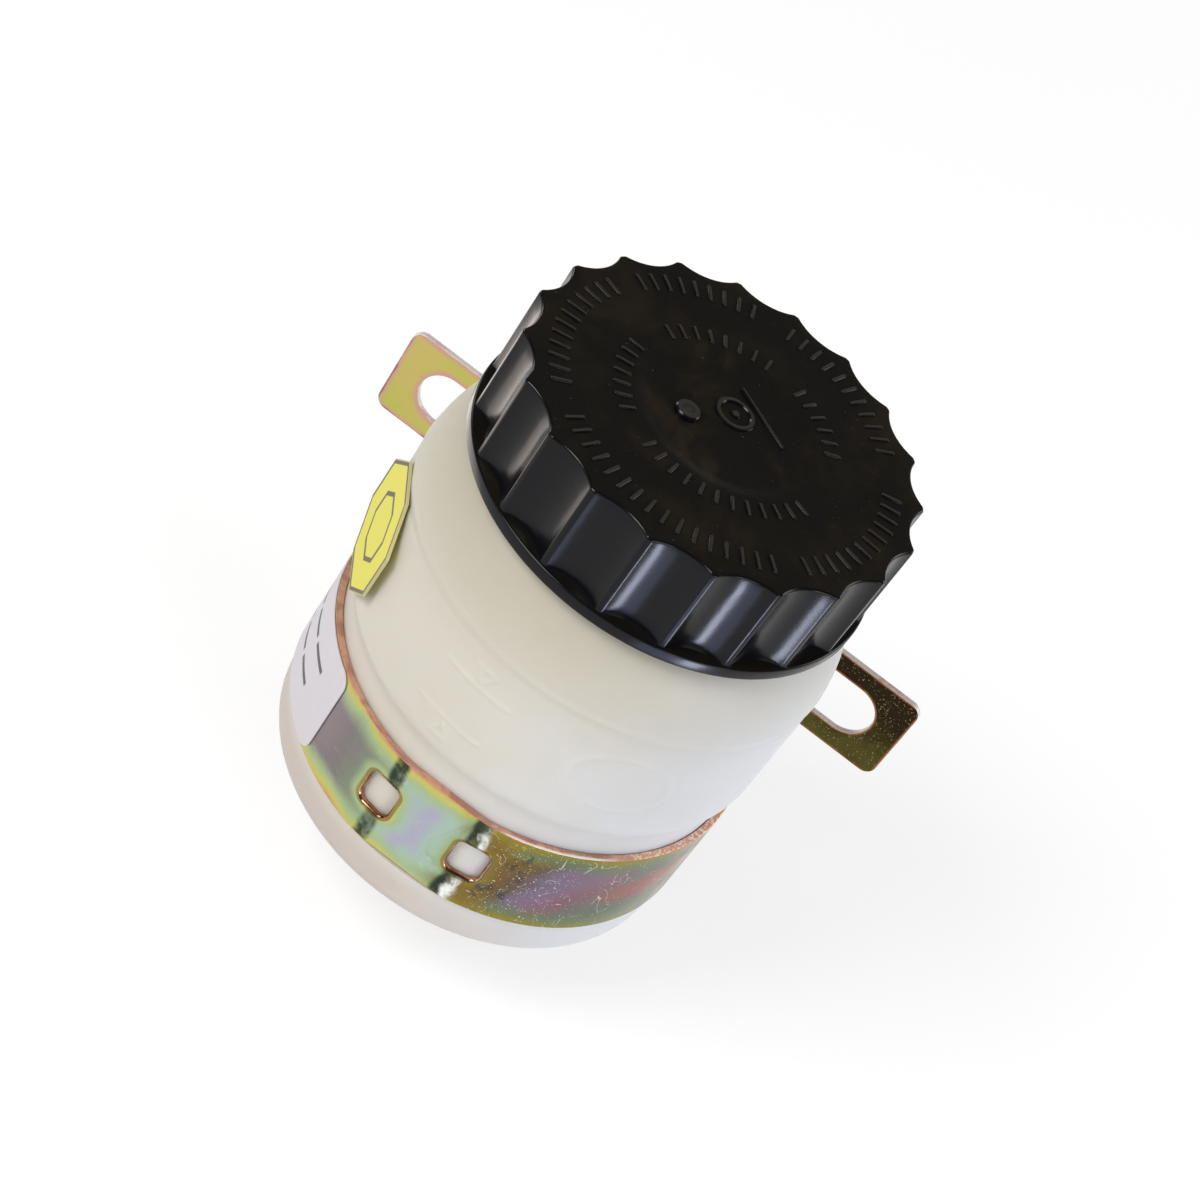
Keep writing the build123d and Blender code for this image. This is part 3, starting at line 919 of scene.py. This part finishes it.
class Film(Net):
    """Yellow chromate over zinc, painted by place on the flat strip, in millimetres.

    run and rise are the place along and across the strip, and rim is 1 on its cut edges. edge,
    end, hole and slot are distances from the long edges, ends, windows and slots. wide and small
    are clouds that break up borders.
    """

    def __init__(self):
        super().__init__("passivated_steel")
        self.where = self.place()
        stored = [self.node("ShaderNodeAttribute", attribute_name=key) for key in ("run", "rise", "rim")]
        self.run, self.rise, self.rim = [node.outputs["Fac"] for node in stored]
        self.wide = self.minus(self.noise(self.where, 75, 3, 0.5, 0.6), 0.5)
        self.small = self.minus(self.noise(self.where, 260, 4, 0.6, 0.4), 0.5)
        self.side = self.size(self.run)
        self.edge = self.minus(STRAP_W / 2, self.size(self.rise))
        self.end = self.minus(STRIP_REACH, self.side)
        self.hole = self.round_box(WINDOW_RUN, WINDOW_W / 2, WINDOW_H / 2, WINDOW_R)
        self.slot = self.round_box(SLOT_RUN, SLOT_LEN / 2, SLOT_W / 2, SLOT_W / 2)
        self.ear = self.fit(self.side, 116, 124)
        self.right = self.fit(self.run, -1, 1)

    def round_box(self, middle, half_run, half_rise, radius):
        """How far a place is outside a box with rounded corners, on either half of the strip."""
        across = self.size(self.minus(self.side, middle))
        across = self.most(self.minus(across, half_run - radius), 0.0)
        up = self.most(self.minus(self.size(self.rise), half_rise - radius), 0.0)
        return self.minus(self.length(across, up), radius)

    def shaken(self, value, wide=0.0, small=0.0):
        """A distance with the clouds added, so that a border by it runs unevenly."""
        for cloud, reach in ((self.wide, wide), (self.small, small)):
            if reach:
                value = self.add(value, self.times(cloud, reach))
        return value

    def middle_tone(self):
        """The tone away from all edges, with a red streak along the right that fades to orange."""
        lean = self.times(self.rise, self.fit(self.run, 10, 20, 0, -1.0))
        place = self.add(self.run, self.add(self.times(self.wide, 22.0), lean))
        share = self.fit_straight(place, -STRIP_REACH, STRIP_REACH)
        stops = [((s + STRIP_REACH) / 2 / STRIP_REACH, paint(*tone)) for s, tone in FILM_TONES]
        tone = self.ramp(share, stops)
        streak_run = self.minus(self.shaken(self.run, wide=10.0), 47.0)
        streak_rise = self.minus(self.rise, self.times(streak_run, 0.14))
        streak_rise = self.minus(self.shaken(streak_rise, wide=5.0), 1.3)
        away = self.length(self.over(streak_run, 15.5), self.over(streak_rise, 4.3))
        red = self.mix(self.fit(self.run, 42, 54), paint(152, 82, 80), paint(160, 108, 72))
        return self.mix(self.fit(away, 0.35, 1.15, 0.95, 0.0), tone, red)

    def front_color(self):
        """Copper at the edges and round the holes, then yellow and green, then the middle's tone; the
        copper, yellow and green are darker to the right of the front's middle, a painted shade.
        """
        window = self.times(self.add(self.hole, 0.35), 2.0)
        near = self.least(self.edge, self.end, window, self.slot)
        near = self.shaken(near, wide=5.0, small=1.2)
        # Painted shade: darker to the right of the front's middle
        shaded_right = self.fit(self.run, 2, 12)
        green = self.mix(shaded_right, paint(166, 186, 140), paint(108, 122, 88))
        gold = self.fit(self.shaken(self.run, small=12.0), 13.0, 18.0, 1, 0)
        gold = self.times(self.fit(self.run, 7.5, 9.5), gold)
        green = self.mix(self.times(gold, 0.9), green, paint(134, 108, 46))
        yellow = self.mix(shaded_right, paint(196, 190, 100), paint(138, 128, 50))
        copper = self.mix(shaded_right, paint(206, 150, 110), paint(176, 112, 70))
        color = self.mix(self.fit(near, 1.2, 5.4), green, self.middle_tone())
        color = self.mix(self.fit(near, 0.3, 2.2), yellow, color)
        return self.mix(self.fit(near, -0.7, 0.3), copper, color)

    def ear_color(self):
        """A more even film: yellow on the left ear and pink at the ears' edges, with a painted shade
        that darkens the right ear and its edges.
        """
        near = self.least(self.edge, self.end, self.slot)
        clouds = self.fit(self.wide, -0.15, 0.15)
        left = self.mix(clouds, paint(200, 182, 106), paint(188, 187, 94))
        # Painted shade on the right ear: its film and its pink edges darker, darkest towards its upper
        # edge
        low = self.shaken(self.rise, wide=16.0, small=16.0)
        right = self.mix(self.fit(low, -12.0, 7.0), paint(84, 80, 38), paint(44, 35, 24))
        color = self.mix(self.right, left, right)
        pink = self.mix(self.right, paint(206, 158, 140), paint(156, 102, 66))
        wide_rim = self.fit(self.add(near, self.small), 0.3, 1.5)
        thin_rim = self.fit(self.shaken(near, small=0.5), 0.2, 0.6)
        color = self.mix(self.mix(self.right, wide_rim, thin_rim), pink, color)
        # Painted shade: a dark line along the left ear's end and its lower edge, where the bevels turn
        # from the light
        bevel_shade_line = self.least(self.end, self.add(self.rise, STRAP_W / 2))
        bevel_shade_line = self.fit(self.shaken(bevel_shade_line, small=1.5), 0.15, 0.6, 0.75, 0.0)
        bevel_shade_line = self.times(bevel_shade_line, self.fit(self.run, -1, 1, 1, 0))
        return self.mix(bevel_shade_line, color, paint(112, 70, 70))

    def add_creases(self, color):
        """A painted dark reflection at the creases beside the windows, and by the right one a painted
        glint and dark blotches.
        """
        # Painted dark reflection over each crease
        off = self.shaken(self.minus(self.side, CREASE_RUN + 0.4), wide=3.0)
        painted_crease_dark = self.times(self.fit(off, -2.0, -1.0), self.fit(off, 0.6, 1.6, 1, 0))
        painted_crease_dark = self.times(painted_crease_dark, self.fit(self.small, -0.12, 0.04, 0.6, 0.95))
        color = self.mix(painted_crease_dark, color, paint(42, 52, 46))
        # Painted glint beside the right crease, fading towards the top edge
        off = self.shaken(self.minus(self.run, CREASE_RUN + 1.3), small=4.0)
        painted_glint = self.fit(self.size(off), 0.2, 1.3, 1, 0)
        painted_glint = self.times(painted_glint, self.fit(self.rise, 6.5, 8.8, 1.0, 0.1))
        painted_glint = self.times(painted_glint, self.fit(self.small, -0.15, 0.02, 0.3, 1.0))
        color = self.mix(painted_glint, color, paint(236, 240, 234))
        # Dark blotches between the right crease and the purple tone
        dark_blotch = self.times(self.fit(self.small, 0.07, 0.14, 0.0, 0.7), self.fit(self.run, 11.5, 13.0))
        dark_blotch = self.times(dark_blotch, self.fit(self.run, 17.0, 19.5, 1, 0))
        return self.mix(dark_blotch, color, paint(56, 62, 60))

    def cut_color(self, at_window):
        """The sheared edges: copper, with a painted highlight or pale scores on the right, and a pale
        painted highlight on the ears.
        """
        small = self.small
        cut = self.mix(self.fit(small, -0.12, 0.12), paint(178, 122, 108), paint(214, 160, 136))
        # A painted highlight along the outer half beside the right crease, then orange with pale scores
        x, y = self.axes(self.where)[:2]
        outer_half = self.fit(self.shaken(self.length(x, y), small=0.0006), 0.0381, 0.0385)
        painted_edge_highlight = self.times(self.fit(self.run, 10, 13), self.fit(self.run, 28, 34, 1, 0))
        cut = self.mix(self.times(painted_edge_highlight, outer_half), cut, paint(246, 240, 228))
        scored = self.times(self.fit(self.run, 31, 38), self.fit(self.run, 78, 86, 1, 0))
        scores = self.fit(self.noise(self.where, 1300, 2, 0.6), 0.48, 0.58)
        scores = self.mix(scores, paint(234, 168, 138), paint(255, 234, 214))
        cut = self.mix(scored, cut, scores)
        # Painted highlight: the ears' cut edges pale pink
        ear_edge_highlight = self.mix(self.fit(small, -0.2, 0.02), paint(236, 196, 188), paint(255, 242, 236))
        cut = self.mix(self.ear, cut, ear_edge_highlight)
        lip = self.mix(self.fit(small, -0.1, 0.1), paint(142, 90, 66), paint(208, 152, 118))
        return self.mix(at_window, cut, lip)

    def add_scratches(self, color):
        """Scratches, hair lines and specks of bare zinc, most of them on the right."""
        scuffed = self.fit(self.run, 6, 14)
        first = self.noise(self.place(scale=(1, 1, 9), turn=(0.9, 0.3, 0.3)), 240, 2, 0.5, 0.8)
        second = self.noise(self.place(scale=(8, 1, 1), turn=(0.3, 0.2, 1.2)), 240, 2, 0.5, 0.8)
        line = self.fit(self.most(first, second), 0.70, 0.74)
        line = self.times(line, self.fit(scuffed, 0, 1, 0.12, 0.6))
        line = self.times(line, self.fit(self.side, 116, 124, 1.0, 0.3))
        # Hair lines: level lines of a slow cloud, cut short by another
        hair = self.size(self.minus(self.noise(self.where, 210, 2, 0.5, 0.5), 0.5))
        short = self.fit(self.noise(self.where, 240, 1), 0.56, 0.60)
        hair = self.times(self.fit(hair, 0.002, 0.008, 1, 0), short)
        on_front = self.times(self.fit(scuffed, 0, 1, 0.15, 0.6), self.fit(self.side, 60, 66, 1, 0))
        line = self.most(line, self.times(hair, on_front))
        # Specks, closest together between the right window and the purple tone
        grain = self.add(self.noise(self.where, 3000, 2, 0.6), self.times(self.ear, 0.04))
        rubbed_part = self.times(self.fit(self.run, 12, 15), self.fit(self.run, 24, 30, 1, 0))
        grain = self.add(grain, self.times(rubbed_part, 0.035))
        speck = self.times(self.fit(grain, 0.68, 0.74), scuffed)
        zinc = self.mix(self.ear, paint(226, 226, 214), paint(168, 150, 104))
        return self.mix(self.most(line, speck), color, zinc)


def passivated_steel():
    """The strap's film with its creases, cut edges and scratches."""
    film = Film()
    color = film.mix(film.ear, film.front_color(), film.ear_color())
    color = film.add_creases(color)
    shadow = film.fit(film.hole, 0.1, 0.45, 0.6, 0.0)
    color = film.mix(shadow, color, paint(84, 70, 40))
    at_window = film.times(film.rim, film.fit(film.hole, 0.2, 0.6, 1, 0))
    color = film.mix(film.times(film.rim, 0.92), color, film.cut_color(at_window))
    color = film.add_scratches(color)
    plain_rim = film.minus(film.rim, at_window)
    rough = film.fit(film.noise(film.where, 160, 4, 0.6), 0.3, 0.7, 0.16, 0.28)
    rough = film.add(rough, film.times(plain_rim, 0.2))
    film.set(Base_Color=color, Metallic=film.fit_straight(plain_rim, 1.5, 0.0), Roughness=rough)
    film.bump(film.noise(film.where, 420, 3, 0.6), 0.12, 0.0001)
    return film.material


def fine_grained(name, scale, colors, rough, relief):
    """A plain material with a fine grain in its colour, gloss and surface."""
    net = Net(name)
    fine = net.noise(net.place(), scale, 4, 0.6)
    net.set(Base_Color=net.mix(fine, *colors), Roughness=net.fit(fine, 0.3, 0.7, *rough))
    net.bump(fine, relief, 0.0001)
    return net


def plain_rubber():
    """Black rubber for the diaphragm."""
    colors = (0.018, 0.018, 0.019), (0.032, 0.032, 0.033)
    return fine_grained("black_rubber", 800, colors, (0.55, 0.7), 0.3).material


def white_moulding():
    """White plastic for the strainer, which lets a little light in."""
    colors = (0.76, 0.76, 0.72), (0.84, 0.84, 0.81)
    net = fine_grained("strainer_plastic", 500, colors, (0.42, 0.55), 0.2)
    net.set(Subsurface_Weight=0.3, Subsurface_Scale=0.002)
    return net.material


def sticker_film():
    """Yellow film with a dark border and a plain inner octagon."""
    net = Net("yellow_sticker")
    where = net.place()
    x, y, z = net.axes(where)
    facing, tilt = radians(STICKER_FACING), radians(STICKER_TILT)
    across = net.add(net.times(x, -sin(facing)), net.times(y, cos(facing)))
    up = net.minus(z, STICKER_Z * MM)
    u = net.add(net.times(across, cos(tilt)), net.times(up, sin(tilt)))
    v = net.minus(net.times(up, cos(tilt)), net.times(across, sin(tilt)))
    u, v = net.size(u), net.size(v)
    slant = net.times(net.add(u, v), sqrt(0.5))
    share = net.over(net.most(u, v, slant), STICKER_REACH * MM)
    yellow, dark = paint(238, 229, 92), paint(104, 96, 84)
    bands = [
        (0.0, yellow),
        (0.45, yellow),
        (0.46, dark),
        (0.52, dark),
        (0.53, yellow),
        (0.92, yellow),
        (0.93, dark),
        (0.975, dark),
        (0.985, paint(206, 198, 140)),
    ]
    fine = net.noise(where, 700, 3, 0.6)
    color = net.mix(net.times(fine, 0.08), net.ramp(share, bands), paint(236, 228, 160))
    net.set(Base_Color=color, Roughness=net.fit(fine, 0.3, 0.7, 0.45, 0.55), Specular_IOR_Level=0.2)
    net.bump(fine, 0.1, 0.0001)
    return net.material


def label_film():
    """White film with two rows of plain dark bars, by height and by angle round the bottle."""
    net = Net("white_label")
    where = net.place()
    x, y, z = net.axes(where)
    fine = net.noise(where, 600, 3, 0.6)
    color = net.mix(fine, paint(216, 209, 214), paint(226, 220, 225))
    # Degrees to the left of the front's middle
    turn = net.times(net.math("ARCTAN2", x, net.times(y, -1.0)), -180 / pi)
    height = net.times(z, 1 / MM)
    rows = []
    for middle, start, end in LABEL_ROWS:
        row = net.minus(1.0, net.fit(net.size(net.minus(height, middle)), 0.42, 0.55))
        begun = net.fit(turn, start - 0.2, start + 0.2)
        span = net.times(begun, net.fit(turn, end - 0.2, end + 0.2, 1, 0))
        in_bar = net.math("WRAP", turn, start + LABEL_BAR, start)
        gap = net.size(net.minus(in_bar, start + LABEL_BAR - 1.0))
        rows.append(net.times(row, span, net.fit(gap, 0.9, 1.2)))
    color = net.mix(net.times(net.most(*rows), 0.92), color, paint(46, 42, 52))
    net.set(Base_Color=color, Roughness=net.fit(fine, 0.3, 0.7, 0.38, 0.5))
    net.bump(fine, 0.1, 0.0001)
    return net.material


def dress(obj, material, body, slot, *nodes):
    """Gives a new piece its material and its body, and hides the CAD nodes that it stands for. The slot
    is not used.
    """
    obj.data.materials.clear()
    obj.data.materials.append(material)
    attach(obj, body)
    if nodes:
        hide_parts(*nodes)


def repaint(node, material):
    """Gives a CAD node's own mesh another material."""
    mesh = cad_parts[node].data
    mesh.materials.clear()
    mesh.materials.append(material)


milky = milky_plastic()
black = black_plastic("black_plastic", (0.0085, 0.0076, 0.006))
# The dashes' lighter tops are a painted sheen on the raised lettering
sheen_black = black_plastic("black_painted_sheen", (0.036, 0.033, 0.028))
steel = passivated_steel()

dress(make_bottle(), milky, "reservoir", "milky_plastic", "bottle")
cap_shell = make_cap()
cap_marks = make_cap_marks()
dress(cap_shell, black, "cap", "black_plastic", "cap")
dress(cap_marks, sheen_black, "cap", "black_plastic")
dress(make_strap(), steel, "reservoir", "passivated_steel", "strap")
neck_ridge = (NECK_R - 0.1, NECK_R + THREAD_H, NECK_THREAD_TURNS, THREAD_START)
cap_ridge = (CAP_IN_R + 0.1, CAP_IN_R - THREAD_H, CAP_THREAD_TURNS, THREAD_START + pi)
neck_thread = make_thread("neck_thread", *neck_ridge)
cap_thread = make_thread("cap_thread", *cap_ridge)
dress(neck_thread, milky, "reservoir", "milky_plastic")
dress(cap_thread, black, "cap", "black_plastic")
repaint("diaphragm", plain_rubber())
repaint("strainer", white_moulding())
repaint("octagon_sticker", sticker_film())
repaint("strap_label", label_film())


# Stage

AMBIENT = 0.4
CAP_PIECES = bpy.data.collections.new("cap_pieces")
CAP_PIECES.objects.link(cap_shell)
CAP_PIECES.objects.link(cap_marks)


def seen_rays(net):
    """1 for the rays that show the background: from the camera, off gloss and through glass."""
    path = net.node("ShaderNodeLightPath").outputs
    gloss = net.most(path["Is Glossy Ray"], path["Is Transmission Ray"])
    return net.most(path["Is Camera Ray"], gloss)


def floor_white():
    """White to the eye and to gloss with the object's shadow on it, and pale to other light."""
    net = Net("floor_white")
    out = net.tree.nodes["Material Output"]
    net.tree.nodes.remove(net.shader)
    x, y = net.axes(net.place())[:2]
    plain = net.node("ShaderNodeBsdfDiffuse", {"Color": (0.8, 0.8, 0.8, 1)})
    shaded = net.node("ShaderNodeBsdfDiffuse", {"Color": (0.5, 0.5, 0.5, 1)})
    glow = net.node("ShaderNodeEmission", {"Color": (1, 1, 1, 1), "Strength": 0.6})
    both = net.node("ShaderNodeAddShader", {0: shaded.outputs[0], 1: glow.outputs[0]})
    white = net.node("ShaderNodeEmission", {"Color": (1, 1, 1, 1), "Strength": 1.0})
    far = net.fit(net.length(x, y), 0.25, 0.8)
    shown = {0: far, 1: both.outputs[0], 2: white.outputs[0]}
    shown = net.node("ShaderNodeMixShader", shown).outputs[0]
    final = {0: seen_rays(net), 1: plain.outputs[0], 2: shown}
    final = net.node("ShaderNodeMixShader", final).outputs[0]
    net.feed(out.inputs["Surface"], final)
    return net.material


def make_floor():
    """A wide floor just under the part, which stays out of the visual model."""
    low = min(corner[2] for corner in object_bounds())
    bm = bmesh.new()
    bmesh.ops.create_grid(bm, x_segments=2, y_segments=2, size=4.0)
    bmesh.ops.translate(bm, vec=(0, 0, low - 0.0005), verts=bm.verts)
    mesh = bpy.data.meshes.new("floor")
    bm.to_mesh(mesh)
    bm.free()
    floor = bpy.data.objects.new("floor", mesh)
    bpy.context.scene.collection.objects.link(floor)
    mesh.materials.append(floor_white())
    floor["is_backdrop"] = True


def area_light(name, place, target, size, power, color=(1, 1, 1)):
    """A rectangular lamp that faces a target, with its power in watts."""
    data = bpy.data.lights.new(name, "AREA")
    data.shape = "RECTANGLE"
    data.size, data.size_y = size
    data.energy = power
    data.color = color
    lamp = bpy.data.objects.new(name, data)
    lamp.location = place
    lamp.rotation_euler = (Vector(target) - Vector(place)).to_track_quat("-Z", "Y").to_euler()
    bpy.context.scene.collection.objects.link(lamp)
    return lamp


def shine_card(name, place, target, size, level, color):
    """A bright card that only shows in the cap's gloss, as a reflector held beside it does."""
    lamp = area_light(name, place, target, size, level * pi * size[0] * size[1], color)
    lamp.visible_camera = False
    lamp.visible_diffuse = False
    lamp.visible_transmission = False
    lamp.light_linking.receiver_collection = CAP_PIECES


def make_world():
    """White to the eye, with a dim ceiling in gloss, and a soft even light on the rest."""
    world = bpy.data.worlds.new("studio")
    bpy.context.scene.world = world
    world.use_nodes = True
    net = Net("studio", world.node_tree)
    background = net.tree.nodes["Background"]
    path = net.node("ShaderNodeLightPath").outputs
    toward = net.node("ShaderNodeTexCoord").outputs["Generated"]
    ceiling = net.fit(net.axes(toward)[2], -0.05, 0.2, 1.0, 0.08)
    level = net.times(path["Is Glossy Ray"], net.minus(ceiling, AMBIENT))
    level = net.add(level, AMBIENT)
    clear = net.most(path["Is Camera Ray"], path["Is Transmission Ray"])
    net.feed(background.inputs["Strength"], net.most(level, clear))
    background.inputs["Color"].default_value = (1, 1, 1, 1)


def make_camera():
    """The camera fitted to the photograph: azimuth, elevation, roll, distance and aim."""
    azimuth, elevation, roll = radians(2.11), radians(39.70), radians(35.89)
    focal_px, photo_px, distance = 3044.0, 1200, 511.2
    aim = Vector((0, 0, 47.5))
    aside, above = 1.62, 1.88
    back = Vector((sin(azimuth) * cos(elevation), -cos(azimuth) * cos(elevation), sin(elevation)))
    right = Vector((cos(azimuth), sin(azimuth), 0))
    up = back.cross(right)
    right, up = right * cos(roll) + up * sin(roll), up * cos(roll) - right * sin(roll)
    place = (aim + back * distance + right * aside + up * above) * MM
    data = bpy.data.cameras.new("photo_camera")
    data.sensor_width = 36
    data.lens = focal_px / photo_px * data.sensor_width
    data.clip_start = 0.01
    camera = bpy.data.objects.new("photo_camera", data)
    turn = Matrix((right, up, back)).transposed().to_4x4()
    camera.matrix_world = Matrix.Translation(place) @ turn
    bpy.context.scene.collection.objects.link(camera)
    bpy.context.scene.camera = camera


make_floor()
make_world()
make_camera()
area_light("key", (-0.55, -0.55, 0.75), (0, 0, 0.05), (0.5, 0.5), 6.0)
area_light("fill", (0.7, -0.5, 0.25), (0, 0, 0.04), (0.5, 0.3), 2.5, (0.9, 0.95, 1))
area_light("back", (0.75, 0.6, 0.5), (0, 0, 0.06), (0.4, 0.4), 2.5)
cap_side = (0.018, -0.02, 0.085)
shine_card("card_right", (0.084, -0.104, 0.006), cap_side, (0.06, 0.05), 3.0, (0.52, 0.58, 1))
shine_card("card_core", (0.104, -0.080, 0.010), cap_side, (0.022, 0.04), 22.0, (0.74, 0.79, 1))
shine_card("card_left", (-0.1, 0.03, 0.008), (-0.01, 0, 0.085), (0.1, 0.05), 1.8, (1, 0.86, 0.76))
shine_card("card_edge", (-0.25, 0.14, 0.16), (0, 0, 0.09), (0.1, 0.06), 7.0, (1, 0.93, 0.88))
shine_card("card_top", (-0.16, -0.2, 0.36), (0, 0, 0.09), (0.14, 0.14), 7.0, (1, 0.96, 0.9))

bpy.context.scene.view_settings.view_transform = "Standard"
